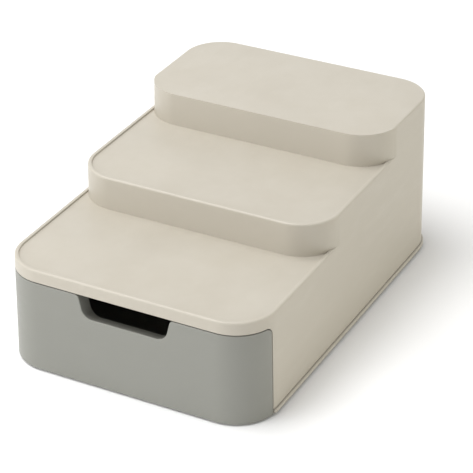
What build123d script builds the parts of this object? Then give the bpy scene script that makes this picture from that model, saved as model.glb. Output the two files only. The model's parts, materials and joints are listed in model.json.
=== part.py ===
"""Stepped cupboard caddy with a pull-out drawer.

A moulded housing makes three shelves, each one step higher than the one in front of it. A base plate
closes the housing from below. It is held by four screws, each under one of the soft feet, and the
drawer slides on it. The drawer is a tray with a curved cover screwed to its front, and a notch in the
top edge of that cover is the finger pull.

Frame, in millimetres: the origin is at table height under the middle of the outline, +Z is up, and the
drawer faces -Y. The upright faces of the housing and of the drawer front lean in by the same draft.
"""

from build123d import *
from math import radians, tan
import os

# ---- housing, outside ----
body_width = 172.6  # over the side walls, measured at the table
body_depth = 258.8  # drawer front to back wall, measured at the table
tier_1_height = 69.2  # table to the rim of the front shelf
tier_2_height = 89.6
tier_3_height = 110.0
tier_1_depth = 84.0  # front face to the first riser
tier_2_depth = 83.0  # first riser to the second
corner_radius = 27.0  # of the corners in plan, at the table
draft = 1.0  # degrees
wall = 2.4
shelf = 2.4
rim_width = 2.6
rim_height = 1.2
rim_round = 1.2  # outer edge of the two rims and of the top shelf
rim_inner_round = 0.5
lip_height = 8.0  # front edge of the front shelf, above the drawer

# ---- housing, inside ----
boss_radius = 4.0
boss_height = 20.0
boss_web = 3.0  # thickness of the web between a boss and the side wall
boss_inset = 5.0  # boss centre past the end of a straight side wall
rib_thickness = 1.6
guide_count = 2  # upright guide ribs on each side wall
back_rib_spacing = 84.0
hold_down_length = 58.0  # ribs that keep the back of an open drawer down
hold_down_gap = 0.8

# ---- base plate and feet ----
stand_height = 2.0  # table to the underside of the plate
plate_thickness = 2.4
flange_overhang = 1.2  # how far the plate shows outside the housing
flange_round = 0.8
flange_end_round = 1.1  # front ends of the flange, in plan
seam_height = 0.4  # shadow line between the plate and the housing wall
seam_depth = 1.0
ridge_height = 2.2  # upstand that centres the housing on the plate
ridge_thickness = 1.6
cup_height = 3.0  # screw cups on top of the plate
nose_gap = 3.0  # front edge of the plate to the inside of the drawer front
panel_inset = 17.0  # border left round the sunk panel under the plate
panel_radius = 12.0
panel_depth = 0.5
foot_radius = 6.4
foot_seat = 0.6  # how far a foot is let into the plate
foot_round = 0.6
grip_radius = 3.6  # middle of the ring groove in the sole of a foot
grip_width = 1.2
grip_depth = 0.5
fit_slack = 0.15

# ---- screws ----
screw_core = 2.4
screw_slack = 0.05
screw_clearance = 0.4  # free hole over the core
head_radius = 2.8
head_height = 1.9
head_round = 0.8
head_slack = 0.2
recess_width = 0.8
recess_length = 3.2
recess_depth = 1.1
point_length = 1.6
base_screw_length = 12.0
front_screw_length = 6.0
screw_end_gap = 0.6  # hole left past the end of a screw

# ---- drawer ----
drawer_gap = 0.7  # dark line round the drawer front
front_clearance = 0.8  # drawer front to the table
front_return = 21.6  # how far the drawer front wraps back along the sides
return_round = 4.5
front_skin = 2.4
front_web = 2.0  # top of the cover, from its skin to the tray
front_thickness = 9.6  # face of the drawer front to the inside of the tray
front_round = 0.5  # top edge of the face
front_foot_round = 1.0  # bottom edge of the face
front_screw_margin = 9.0  # screw to the end of the flat part of the front
front_screw_low = 19.0  # height of the lower pair of screws
front_screw_high = 43.0
front_boss_radius = 3.6
tray_wall = 2.0
tray_floor = 2.0
tray_radius = 16.0
tray_round = 2.0
tray_inner_round = 3.0
side_clearance = 0.5  # tray to the guide ribs
slide_clearance = 0.2  # runners to the plate
runner_height = 1.5
runner_width = 3.0
runner_inset = 14.0
back_clearance = 0.3  # tray to the ribs that stop it
back_gap = 4.0  # tray to the housing's back wall
drawer_travel = 180.0
stop_width = 30.0
stop_length = 2.0
stop_slack = 0.3

# ---- finger notch in the drawer front ----
notch_width = 61.0  # at the top edge
notch_depth = 14.0
notch_side_angle = 13.5  # degrees from upright
notch_corner = 7.0
notch_top_round = 2.6
notch_inset = 0.5  # the inner end is narrower by this on each side
notch_drop = 3.0  # the finger ledge falls this far on its way in
notch_lining = 1.8

# ---- places worked out from the sizes above ----
lean = tan(radians(draft))
front = -(body_depth + flange_overhang) / 2
back = front + body_depth
riser_2 = front + tier_1_depth
riser_3 = riser_2 + tier_2_depth
plate_top = stand_height + plate_thickness
ridge_top = plate_top + ridge_height
cup_top = plate_top + cup_height
floor_1 = tier_1_height - rim_height
floor_2 = tier_2_height - rim_height
ceiling_1 = floor_1 - shelf
lip_bottom = tier_1_height - lip_height
front_top = lip_bottom - drawer_gap
return_back = front + front_return
side_front = return_back + drawer_gap
boss_x = body_width / 2 - lean * cup_top - wall - fit_slack - boss_radius
boss_front = side_front + wall + boss_radius + boss_inset
boss_back = back - corner_radius - boss_inset
foot_top = stand_height + foot_seat
head_bearing = cup_top - plate_thickness
guide_face = boss_x - boss_radius
tray_half = guide_face - side_clearance
tray_front = front + front_thickness - tray_wall
tray_top = front_top - front_web
tray_under = plate_top + slide_clearance + runner_height
tray_back = back - lean * tray_top - wall - back_gap
side_root = body_width / 2 - lean * tray_top - wall / 2
back_root = back - lean * tray_top - wall / 2
front_screw_x = body_width / 2 - corner_radius - front_screw_margin
stop_back = tray_back - tray_radius
past = 20.0  # how far a cutting tool runs past what it cuts

corners = {
    "front_left": (-boss_x, boss_front),
    "front_right": (boss_x, boss_front),
    "rear_left": (-boss_x, boss_back),
    "rear_right": (boss_x, boss_back),
}
front_fixings = {
    "lower_left": (-front_screw_x, front_screw_low),
    "lower_right": (front_screw_x, front_screw_low),
    "upper_left": (-front_screw_x, front_screw_high),
    "upper_right": (front_screw_x, front_screw_high),
}


def span(x0, x1, y0, y1, z0, z1):
    """Box between two opposite corners."""
    box = Box(x1 - x0, y1 - y0, z1 - z0)
    return Pos((x0 + x1) / 2, (y0 + y1) / 2, (z0 + z1) / 2) * box


def post(x, y, z0, z1, radius):
    """Upright round post or hole."""
    return Pos(x, y, (z0 + z1) / 2) * Cylinder(radius, z1 - z0)


def peg(x, z, y0, y1, radius):
    """Round post or hole that lies front to back."""
    return Pos(x, (y0 + y1) / 2, z) * Rot(90, 0, 0) * Cylinder(radius, y1 - y0)


def rounded(x, y0, y1, z0, z1, radius):
    """Upright block, 2x wide, with round corners in plan."""
    plan = Pos(0, (y0 + y1) / 2, z0) * RectangleRounded(2 * x, y1 - y0, radius)
    return extrude(plan, z1 - z0)


def outline(face, z, inset=0.0):
    """Plan of the caddy at height z, with its front at the plane called face."""
    shrink = z * lean + inset
    width = body_width - 2 * shrink
    depth = back - face - 2 * shrink
    return Pos(0, (face + back) / 2, z) * RectangleRounded(width, depth, corner_radius - shrink)


def block(face, z0, z1, inset=0.0):
    """Drafted solid with that plan, between two heights."""
    return extrude(outline(face, z0, inset), z1 - z0, taper=draft)


def edges_at(solid, z):
    """Every edge of a solid that lies wholly at height z."""
    return solid.edges().filter_by_position(Axis.Z, z - 0.01, z + 0.01)


def front_region(edge, top, corner):
    """All that is in front of edge and below top, with the corner between them rounded."""
    region = span(-body_width, body_width, front - past, edge, -past, top)
    along = edges_at(region, top).filter_by_position(Axis.Y, edge - 0.01, edge + 0.01)
    return fillet(along, corner)


# ---- housing ----


def rimmed_tier(face, z0, top, floor):
    """One step of the housing with a raised rim round its shelf."""
    solid = fillet(edges_at(block(face, z0, top), top), rim_round)
    solid -= extrude(outline(face, floor, rim_width), top + 1 - floor, taper=-draft)
    rim_face = solid.faces().filter_by_position(Axis.Z, top - 0.01, top + 0.01)[0]
    return fillet(rim_face.inner_wires()[0].edges(), rim_inner_round)


def housing_shell():
    """Three steps over one hollow, open at the front and below."""
    solid = rimmed_tier(front, plate_top, tier_1_height, floor_1)
    solid += rimmed_tier(riser_2, floor_1, tier_2_height, floor_2)
    top_step = block(riser_3, floor_2, tier_3_height)
    solid += fillet(edges_at(top_step, tier_3_height), rim_round)
    solid -= block(front, plate_top - 1, ceiling_1, wall)
    solid -= block(riser_2, ceiling_1, floor_2 - shelf, wall)
    solid -= block(riser_3, floor_2 - shelf, tier_3_height - shelf, wall)
    return solid - front_region(side_front, lip_bottom, return_round + drawer_gap)


def seam():
    """Shadow line cut round the foot of the housing wall."""
    top = plate_top + seam_height
    ring = span(-body_width, body_width, front - past, back + past, plate_top - 1, top)
    return ring - block(front, plate_top - 1, top, seam_depth)


def guide_ribs():
    """Upright ribs on the side walls that keep the tray straight."""
    ribs = []
    pitch = (boss_back - boss_front) / (guide_count + 1)
    for step in range(guide_count):
        y = boss_front + (step + 1) * pitch
        y0, y1 = y - rib_thickness / 2, y + rib_thickness / 2
        ribs.append(span(guide_face, side_root, y0, y1, cup_top, tray_top))
        ribs.append(span(-side_root, -guide_face, y0, y1, cup_top, tray_top))
    return ribs


def back_ribs():
    """Upright ribs on the back wall that stop the closed drawer."""
    ribs = []
    for x in (-back_rib_spacing / 2, back_rib_spacing / 2):
        x0, x1 = x - rib_thickness / 2, x + rib_thickness / 2
        ribs.append(span(x0, x1, tray_back + back_clearance, back_root, cup_top, tray_top))
    return ribs


def hold_down_ribs():
    """Ribs under the front shelf, over the side walls of the tray."""
    ribs = []
    under = tray_top + hold_down_gap
    for x in (tray_wall / 2 - tray_half, tray_half - tray_wall / 2):
        x0, x1 = x - rib_thickness / 2, x + rib_thickness / 2
        y1 = side_front + hold_down_length
        ribs.append(span(x0, x1, side_front, y1, under, ceiling_1 + shelf / 2))
    return ribs


def boss(x, y):
    """Screw boss with its web to the side wall."""
    top = cup_top + boss_height
    x0, x1 = sorted((x, side_root if x > 0 else -side_root))
    web = span(x0, x1, y - boss_web / 2, y + boss_web / 2, cup_top, top)
    return post(x, y, cup_top, top, boss_radius) + web


def tiered_housing():
    solid = housing_shell() - seam()
    solid += guide_ribs() + back_ribs() + hold_down_ribs()
    solid += [boss(x, y) for x, y in corners.values()]
    hole_top = head_bearing + base_screw_length + screw_end_gap
    for x, y in corners.values():
        solid -= post(x, y, cup_top - 1, hole_top, screw_core / 2 + screw_slack)
    return solid


# ---- base plate, feet and screws ----


def plate_blank():
    """Flanged plate, with a narrower nose that reaches under the drawer front."""
    half = body_width / 2 + flange_overhang
    radius = corner_radius + flange_overhang
    face = front - flange_overhang
    flange = rounded(half, face, back + flange_overhang, stand_height, plate_top, radius)
    flange -= span(-half, half, front - past, side_front, 0, plate_top + 1)
    ends = flange.edges().filter_by(Axis.Z).filter_by_position(Axis.Y, side_front - 0.01, side_front + 0.01)
    flange = fillet(ends, flange_end_round)
    flange = fillet(edges_at(flange, stand_height) + edges_at(flange, plate_top), flange_round)
    inset = front_skin + nose_gap
    nose = rounded(
        body_width / 2 - inset,
        front + inset,
        side_front + corner_radius,
        stand_height,
        plate_top,
        corner_radius - inset,
    )
    return flange + nose


def locating_ridge():
    """Upstand just inside the walls of the housing."""
    inset = lean * ridge_top + wall + fit_slack
    half = body_width / 2 - inset
    radius = corner_radius - inset
    ring = rounded(half, front + inset, back - inset, plate_top, ridge_top, radius)
    thick = ridge_thickness
    ring -= rounded(
        half - thick, front + inset, back - inset - thick, plate_top - 1, ridge_top + 1, radius - thick
    )
    return ring - span(-half, half, front, side_front + wall, plate_top - 1, ridge_top + 1)


def base_plate():
    solid = plate_blank() + locating_ridge()
    solid += [post(x, y, plate_top, cup_top, boss_radius) for x, y in corners.values()]
    stop_face = stop_back - stop_length - drawer_travel - stop_slack
    solid += span(
        -stop_width / 2,
        stop_width / 2,
        stop_face - stop_length,
        stop_face,
        plate_top,
        tray_under - slide_clearance,
    )
    half = body_width / 2 - panel_inset
    panel_front = side_front + panel_inset
    panel_top = stand_height + panel_depth
    solid -= rounded(half, panel_front, back - panel_inset, stand_height - 1, panel_top, panel_radius)
    for x, y in corners.values():
        solid -= post(x, y, stand_height - 1, foot_top, foot_radius + fit_slack)
        solid -= post(x, y, stand_height - 1, head_bearing, head_radius + head_slack)
        solid -= post(x, y, stand_height, cup_top + 1, (screw_core + screw_clearance) / 2)
    return solid


def foot(x, y):
    """Soft pad with a ring groove in its sole."""
    pad = fillet(edges_at(post(x, y, 0, foot_top, foot_radius), 0), foot_round)
    groove = post(x, y, -1, grip_depth, grip_radius + grip_width / 2)
    groove -= post(x, y, -1, grip_depth, grip_radius - grip_width / 2)
    return pad - groove


def screw(length):
    """Self-tapping screw: the seat of the head is at the origin, the point is up +Z."""
    head = fillet(edges_at(post(0, 0, -head_height, 0, head_radius), -head_height), head_round)
    arm, half = recess_length / 2, recess_width / 2
    floor = recess_depth - head_height
    head -= span(-arm, arm, -half, half, -head_height - 1, floor)
    head -= span(-half, half, -arm, arm, -head_height - 1, floor)
    shank = post(0, 0, 0, length - point_length, screw_core / 2)
    cone = Cone(screw_core / 2, screw_core / 8, point_length)
    return head + shank + Pos(0, 0, length - point_length / 2) * cone


# ---- drawer ----


def notch_profile(y, grow):
    """Outline of the finger notch in the plane at y, grown all round."""
    share = (y - front) / front_thickness
    slope = tan(radians(notch_side_angle))
    floor = front_top - notch_depth - notch_drop * share - grow
    mouth = notch_width / 2 - notch_inset * share + grow
    foot_x = mouth - (front_top - floor) * slope
    reach = mouth + 2 * notch_top_round
    right = [(foot_x, floor), (mouth, front_top), (reach, front_top), (reach, front_top + past)]
    left = [(-x, z) for x, z in reversed(right)]
    plane = Plane(origin=(0, y, 0), x_dir=(1, 0, 0), z_dir=(0, -1, 0))
    face = plane * Polygon(*left, *right, align=None)
    face = fillet(face.vertices().group_by(Axis.Z)[0], notch_corner + grow)
    shoulders = face.vertices().filter_by_position(Axis.X, -mouth - 0.01, mouth + 0.01)
    return fillet(shoulders.group_by(Axis.Z)[-1], notch_top_round)


def notch(y0, y1, grow=0.0):
    """Part of the notch between two planes, as a solid."""
    return loft([notch_profile(y0, grow), notch_profile(y1, grow)], ruled=True)


def front_shell():
    """Curved skin with the web along its top that rests on the tray."""
    solid = block(front, front_clearance, front_top)
    solid = fillet(edges_at(solid, front_top), front_round)
    solid = fillet(edges_at(solid, front_clearance), front_foot_round)
    solid -= block(front, front_clearance - 1, tray_top, front_skin)
    solid &= front_region(return_back, front_top, return_round)
    half = tray_half - tray_wall
    inside = front + front_thickness
    radius = tray_radius - tray_wall
    return solid - rounded(half, inside, inside + body_depth, 0, front_top + 1, radius)


def front_boss(x, z):
    """Boss from the skin of the drawer front to the tray."""
    root = front + lean * z + front_skin / 2
    return peg(x, z, root, tray_front, front_boss_radius)


def drawer_front():
    solid = front_shell()
    inside = front + front_thickness
    lining = notch(front + front_skin / 2, inside, notch_lining)
    solid += lining & span(-body_width, body_width, front, inside, 0, tray_top)
    solid += [front_boss(x, z) for x, z in front_fixings.values()]
    solid -= notch(front - 1, inside + 1)
    screw_end = inside - front_screw_length - screw_end_gap
    for x, z in front_fixings.values():
        solid -= peg(x, z, screw_end, tray_front + 1, screw_core / 2 + screw_slack)
    return solid


def drawer_tray():
    solid = rounded(tray_half, tray_front, tray_back, tray_under, tray_top, tray_radius)
    solid = fillet(edges_at(solid, tray_under), tray_round)
    inside, floor = front + front_thickness, tray_under + tray_floor
    half, rear, radius = tray_half - tray_wall, tray_back - tray_wall, tray_radius - tray_wall
    pocket = rounded(half, inside, rear, floor, tray_top + 1, radius)
    solid -= fillet(edges_at(pocket, floor), tray_inner_round)
    root = tray_under + tray_floor / 2
    bottom = plate_top + slide_clearance
    for side in (-1, 1):
        x = side * (tray_half - runner_inset)
        x0, x1 = x - runner_width / 2, x + runner_width / 2
        solid += span(x0, x1, tray_front + tray_radius, stop_back, bottom, root)
    stop = stop_width / 2
    solid += span(-stop, stop, stop_back - stop_length, stop_back, bottom, root)
    solid -= notch(tray_front - 1, inside + 1, notch_lining + fit_slack)
    for x, z in front_fixings.values():
        solid -= peg(x, z, tray_front - 1, inside + 1, (screw_core + screw_clearance) / 2)
    return solid


# ---- all the pieces, each as its own file ----


def pieces():
    """Every piece by name, in the place it has in the closed caddy."""
    made = {
        "tiered_housing": tiered_housing(),
        "base_plate": base_plate(),
        "drawer_tray": drawer_tray(),
        "drawer_front": drawer_front(),
    }
    for place, (x, y) in corners.items():
        made["foot_" + place] = foot(x, y)
        made["base_screw_" + place] = Pos(x, y, head_bearing) * screw(base_screw_length)
    for place, (x, z) in front_fixings.items():
        seat = Pos(x, front + front_thickness, z) * Rot(90, 0, 0)
        made["front_screw_" + place] = seat * screw(front_screw_length)
    return made


os.makedirs("parts", exist_ok=True)
for name, solid in pieces().items():
    export_step(solid, "parts/" + name + ".step")
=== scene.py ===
"""Models and finishes a three-step condiment caddy with a pull-out drawer.

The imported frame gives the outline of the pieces. Each piece is modelled here again, with the
small roundings that catch the light, and takes the place of its plain solid. Sizes are in metres.
"""

import json
from math import cos, pi, radians, sin, sqrt, tan

import bmesh
import bpy
from bpy.props import FloatProperty, FloatVectorProperty, IntProperty, PointerProperty
from mathutils import Matrix, Vector


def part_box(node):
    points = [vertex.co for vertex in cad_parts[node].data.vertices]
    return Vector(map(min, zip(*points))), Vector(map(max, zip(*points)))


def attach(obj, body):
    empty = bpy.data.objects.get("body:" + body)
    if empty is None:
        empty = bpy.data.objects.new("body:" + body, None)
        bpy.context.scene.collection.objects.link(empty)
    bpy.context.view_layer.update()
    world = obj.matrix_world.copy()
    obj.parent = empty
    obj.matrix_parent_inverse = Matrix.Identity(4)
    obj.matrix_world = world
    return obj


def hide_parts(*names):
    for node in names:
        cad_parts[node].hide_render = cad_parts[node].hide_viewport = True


bl_info = {
    "name": "Stepped Condiment Caddy",
    "version": (1, 0, 0),
    "blender": (4, 5, 0),
    "location": "View3D > Sidebar > Caddy",
    "description": "Models and finishes a three-step cupboard caddy with a pull-out drawer",
    "category": "Object",
}

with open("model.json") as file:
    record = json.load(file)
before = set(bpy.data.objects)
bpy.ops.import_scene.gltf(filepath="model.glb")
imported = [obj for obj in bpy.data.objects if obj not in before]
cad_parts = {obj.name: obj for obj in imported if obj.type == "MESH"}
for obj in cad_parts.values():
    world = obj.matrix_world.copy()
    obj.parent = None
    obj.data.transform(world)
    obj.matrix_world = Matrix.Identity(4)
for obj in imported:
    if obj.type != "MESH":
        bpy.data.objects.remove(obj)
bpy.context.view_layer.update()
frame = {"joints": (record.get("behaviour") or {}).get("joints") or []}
housing_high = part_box("tiered_housing")[1]
plate_low, plate_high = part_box("base_plate")
cover_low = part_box("drawer_front")[0]
tray_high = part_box("drawer_tray")[1]

MM = 0.001
HAIR = 0.01 * MM  # keeps a cutting tool's faces out of the plane of what it cuts
PAST = 20 * MM  # how far a cutting tool runs past what it cuts
PROUD = 1 * MM  # how far it runs past where something else is near
CORNER_STEPS = 28  # flats round each large corner
CRISP = radians(35)  # an edge that turns more than this stays crisp
SHARP = radians(50)  # an edge that turns more than this can be given a rounding
WHITE = (1.0, 1.0, 1.0)


def length(name, description, millimetres):
    """A size in metres, whose default is given in millimetres."""
    return FloatProperty(
        name=name, description=description, default=millimetres * MM, unit="LENGTH", precision=5
    )


def angle(name, description, degrees):
    """An angle whose default is given in degrees."""
    return FloatProperty(name=name, description=description, default=radians(degrees), subtype="ANGLE")


def power(name, description, watts):
    """The power of a lamp."""
    return FloatProperty(name=name, description=description, default=watts, unit="POWER")


def colour(name, description, default):
    """A colour."""
    return FloatVectorProperty(
        name=name, description=description, default=default, subtype="COLOR", size=3, min=0, max=1
    )


# ---- sizes and colours that a user can change ----


class HousingSizes(bpy.types.PropertyGroup):
    """Sizes of the stepped housing."""

    draft: angle("Draft", "Lean of every upright face", 1)
    corner: length("Corner radius", "Radius of the corners in plan, at the table", 27)
    wall: length("Wall", "Thickness of the side walls", 2.4)
    shelf: length("Shelf", "Thickness of the shelves", 2.4)
    tier_1: length("Front shelf height", "Table to the rim of the front shelf", 69.2)
    tier_2: length("Middle shelf height", "Table to the rim of the middle shelf", 89.6)
    tier_1_depth: length("Front shelf depth", "Front face to the first riser", 84)
    tier_2_depth: length("Middle shelf depth", "First riser to the second", 83)
    rim_width: length("Rim width", "Width of the raised rim round a shelf", 2.6)
    rim_height: length("Rim height", "Height of the rim over its shelf", 1.2)
    rim_round: length("Rim rounding", "Outer edge of the rims and of the top shelf", 1.2)
    rim_inner: length("Inner rounding", "Inner edge of the rims", 0.6)
    floor_round: length("Floor rounding", "Hollow between a rim and its shelf", 0.3)
    lip: length("Lip", "Height of the front edge over the drawer", 8)
    edge: length("Edge rounding", "Edges of the drawer opening", 0.3)
    seam: length("Seam", "Height of the shadow line over the base plate", 0.4)
    seam_depth: length("Seam depth", "Depth of that shadow line", 1)
    rib: length("Rib thickness", "Thickness of the inner ribs", 1.6)
    guides: IntProperty(name="Guide ribs", description="Guide ribs on each side wall", default=2, min=1)
    back_ribs: length("Back rib spacing", "Distance between the two ribs on the back wall", 84)
    hold_down: length("Hold-down rib", "Length of the ribs over the tray's side walls", 58)


class PlateSizes(bpy.types.PropertyGroup):
    """Sizes of the base plate, its feet and the screws."""

    flange: length("Flange", "How far the plate shows outside the housing", 1.2)
    thickness: length("Plate", "Thickness of the plate", 2.4)
    edge: length("Flange rounding", "Rounding of the flange's edges", 0.8)
    end_round: length("Flange end", "Front ends of the flange, in plan", 1.1)
    ridge: length("Ridge height", "Upstand that centres the housing", 2.2)
    ridge_thickness: length("Ridge thickness", "Thickness of that upstand", 1.6)
    cup: length("Cup height", "Height of the screw cups", 3)
    nose_gap: length("Nose gap", "Front edge of the plate to the drawer front", 3)
    panel_inset: length("Panel border", "Border round the sunk panel underneath", 17)
    panel_corner: length("Panel corner", "Corner radius of the sunk panel", 12)
    panel_depth: length("Panel depth", "Depth of the sunk panel", 0.5)
    boss: length("Boss radius", "Outer radius of the screw bosses and cups", 4)
    boss_height: length("Boss height", "Height of the screw bosses", 20)
    boss_web: length("Boss web", "Thickness of a boss's web to the side wall", 3)
    boss_inset: length("Boss inset", "Boss centre past the end of a straight side wall", 5)
    foot: length("Foot radius", "Radius of a soft foot", 6.4)
    foot_seat: length("Foot seat", "How far a foot is let into the plate", 0.6)
    foot_round: length("Foot rounding", "Rounding of a foot's sole", 0.6)
    groove: length("Groove radius", "Middle of the ring groove in a foot's sole", 3.6)
    groove_width: length("Groove width", "Width of that groove at the sole", 1.2)
    groove_depth: length("Groove depth", "Depth of that groove", 0.5)
    slack: length("Slack", "Clearance of a close fit", 0.15)
    screw_play: length("Screw play", "Clearance round a screw and its head", 0.2)
    screw_core: length("Screw core", "Core radius of the screws", 1.2)
    screw_point: length("Screw point", "Length of a screw's point", 1.6)
    head: length("Head radius", "Radius of a screw head", 2.8)
    head_height: length("Head height", "Height of a screw head", 1.9)
    head_round: length("Head rounding", "Rounded edge of a screw head", 0.8)
    recess: length("Recess length", "Arms of the cross recess, tip to tip", 3.2)
    recess_width: length("Recess width", "Width of its arms", 0.8)
    recess_depth: length("Recess depth", "Depth of the recess", 1.1)
    pitch: length("Thread pitch", "Rise of the thread in one turn", 1.1)
    thread: length("Thread height", "Height of the thread over its core", 0.25)
    base_screw: length("Base screw", "Length of the base screws", 12)
    front_screw: length("Front screw", "Length of the drawer front's screws", 6)
    screw_end: length("Screw end gap", "Air past the end of a screw", 0.6)


class DrawerSizes(bpy.types.PropertyGroup):
    """Sizes of the drawer."""

    gap: length("Gap", "Dark line round the drawer front", 0.7)
    wrap: length("Wrap", "How far the front wraps back along the sides", 21.6)
    wrap_round: length("Wrap rounding", "Upper rear corner of the wrap", 4.5)
    skin: length("Skin", "Thickness of the front's skin", 2.4)
    web: length("Web", "Thickness of the front's top, from skin to tray", 2)
    depth: length("Front depth", "Face of the front to the inside of the tray", 9.6)
    edge: length("Top rounding", "Top edge of the front", 0.5)
    foot_edge: length("Foot rounding", "Bottom edge of the front", 1)
    rear_edge: length("Rear rounding", "Rear edges of the wrap", 0.3)
    notch: length("Notch width", "Width of the finger notch at the top edge", 61)
    notch_depth: length("Notch depth", "Depth of the finger notch", 14)
    notch_angle: angle("Notch angle", "Sides of the notch from upright", 13.5)
    notch_corner: length("Notch corner", "Lower corners of the notch", 7)
    notch_shoulder: length("Notch shoulder", "Rounded upper corners of the notch", 2.6)
    notch_inset: length("Notch inset", "Narrowing of each side on the way in", 0.5)
    notch_drop: length("Notch drop", "Fall of the finger ledge on the way in", 3)
    notch_edge: length("Notch rounding", "Rounded edge between the face and the notch", 0.6)
    lining: length("Notch lining", "Thickness of the notch's lining", 1.8)
    screw_margin: length("Screw margin", "Front screw to the end of the flat front", 9)
    screw_low: length("Lower screws", "Height of the lower front screws", 19)
    screw_high: length("Upper screws", "Height of the upper front screws", 43)
    screw_boss: length("Screw boss", "Radius of the front's screw bosses", 3.6)
    wall: length("Tray wall", "Thickness of the tray's walls", 2)
    floor: length("Tray floor", "Thickness of the tray's floor", 2)
    corner: length("Tray corner", "Corner radius of the tray", 16)
    tray_round: length("Tray rounding", "Lower outer edge of the tray", 2)
    tray_inner: length("Inner rounding", "Lower inner edge of the tray", 3)
    rim_edge: length("Rim edge", "Rounding of the tray's rim", 0.4)
    side_gap: length("Side gap", "Tray to the guide ribs", 0.5)
    back_gap: length("Back gap", "Tray to the stop ribs", 0.3)
    slide_gap: length("Slide gap", "Runners to the plate", 0.2)
    runner: length("Runner height", "Height of the runners", 1.5)
    runner_width: length("Runner width", "Width of a runner", 3)
    runner_inset: length("Runner inset", "Runner to the side of the tray", 14)
    hold_gap: length("Hold-down gap", "Tray rim to the ribs over it", 0.8)
    stop_width: length("Stop width", "Width of the drawer stop", 30)
    stop_length: length("Stop length", "Thickness of the drawer stop", 2)
    stop_slack: length("Stop slack", "Stops apart when the drawer is fully out", 0.3)


class Finish(bpy.types.PropertyGroup):
    """Colours of the plastics, the feet and the screws."""

    stone: colour("Stone", "Housing and base plate", (0.449, 0.415, 0.350))
    grey: colour("Grey", "Drawer front and tray", (0.228, 0.228, 0.202))
    pad: colour("Foot", "Soft feet", (0.1, 0.1, 0.097))
    steel: colour("Screws", "Zinc-plated screws", (0.62, 0.62, 0.62))


class Studio(bpy.types.PropertyGroup):
    """Camera and light."""

    azimuth: angle("Azimuth", "Camera to the right of the front", 27.78)
    elevation: angle("Elevation", "Camera above the table", 30.026)
    roll: angle("Roll", "Tilt of the camera", -0.28)
    distance: length("Distance", "Camera to the point that it looks at", 1243.9)
    target: FloatVectorProperty(
        name="Target",
        description="Point in the middle of the picture",
        default=(0.00585, -0.0008, 0.04345),
        subtype="XYZ",
        unit="LENGTH",
        size=3,
    )
    lens: FloatProperty(name="Lens", description="Focal length in millimetres", default=152.0)
    room: FloatProperty(name="Room", description="Strength of the light from all round", default=0.58)
    key: power("Key", "Power of the high soft box", 17.5)
    fill: power("Fill", "Power of the low soft box in front", 10.0)
    side: power("Side", "Power of the soft box on the right", 6.0)


def settings(group):
    """One of the groups of sizes on the scene."""
    return getattr(bpy.context.scene, "caddy_" + group)


def sizes(*groups):
    """The places, followed by some groups of sizes."""
    return [Places()] + [settings(group) for group in groups]


class Places:
    """Places worked out from the sizes and from the boxes of the frame's solids."""

    def __init__(self):
        h, p, d = settings("housing"), settings("plate"), settings("drawer")
        self.lean = tan(h.draft)
        self.half = plate_high.x - p.flange
        self.back = plate_high.y - p.flange
        self.front = -plate_high.y
        self.top = housing_high.z
        self.riser_2 = self.front + h.tier_1_depth
        self.riser_3 = self.riser_2 + h.tier_2_depth
        self.stand = plate_low.z
        self.plate_top = self.stand + p.thickness
        self.ridge_top = self.plate_top + p.ridge
        self.cup_top = self.plate_top + p.cup
        self.floor_1 = h.tier_1 - h.rim_height
        self.floor_2 = h.tier_2 - h.rim_height
        self.lip_bottom = h.tier_1 - h.lip
        self.front_top = self.lip_bottom - d.gap
        self.front_low = cover_low.z
        self.wrap_back = self.front + d.wrap
        self.side_front = self.wrap_back + d.gap
        self.boss_x = self.half - self.lean * self.cup_top - h.wall - p.slack - p.boss
        self.boss_front = self.side_front + h.wall + p.boss + p.boss_inset
        self.boss_back = self.back - h.corner - p.boss_inset
        self.bearing = self.cup_top - p.thickness
        self.foot_top = self.stand + p.foot_seat
        self.guide_face = self.boss_x - p.boss
        self.tray_half = self.guide_face - d.side_gap
        self.inside = self.front + d.depth
        self.tray_front = self.inside - d.wall
        self.tray_top = self.front_top - d.web
        self.tray_under = self.plate_top + d.slide_gap + d.runner
        self.tray_back = tray_high.y
        self.side_root = self.half - self.lean * self.tray_top - h.wall / 2
        self.back_root = self.back - self.lean * self.tray_top - h.wall / 2
        self.screw_x = self.half - h.corner - d.screw_margin
        self.stop_back = self.tray_back - d.corner
        self.travel = frame["joints"][0]["range_m"][1]
        self.corners = {
            "front_left": (-self.boss_x, self.boss_front),
            "front_right": (self.boss_x, self.boss_front),
            "rear_left": (-self.boss_x, self.boss_back),
            "rear_right": (self.boss_x, self.boss_back),
        }
        self.fixings = {
            "lower_left": (-self.screw_x, d.screw_low),
            "lower_right": (self.screw_x, d.screw_low),
            "upper_left": (-self.screw_x, d.screw_high),
            "upper_right": (self.screw_x, d.screw_high),
        }

    def outline(self, face, z, inset=0.0):
        """Half width, front, back and corner radius of the leaning walls' plan at height z."""
        shrink = z * self.lean + inset
        corner = settings("housing").corner - shrink
        return self.half - shrink, face + shrink, self.back - shrink, corner


# ---- mesh tools ----


def bevel(bm, geom, width, steps, affect):
    """Rounds edges or vertices."""
    bmesh.ops.bevel(
        bm,
        geom=geom,
        offset=width,
        offset_type="OFFSET",
        affect=affect,
        segments=steps,
        profile=0.5,
        material=-1,
        clamp_overlap=affect == "EDGES",
    )


def soften(bm, edges, width, steps=3):
    """Rounds some edges."""
    bevel(bm, edges, width, steps, "EDGES")


def round_corners(bm, verts, radius, turn=pi / 2, steps=CORNER_STEPS):
    """Rounds corners of a flat face whose sides meet at that turn."""
    bevel(bm, verts, radius * tan(turn / 2), steps, "VERTICES")


def face_outward(bm):
    """Turns every face of a closed shell outward."""
    bmesh.ops.recalc_face_normals(bm, faces=bm.faces[:])


def open_edges(bm):
    """Edges with a face on one side only."""
    return [edge for edge in bm.edges if edge.is_boundary]


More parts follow.
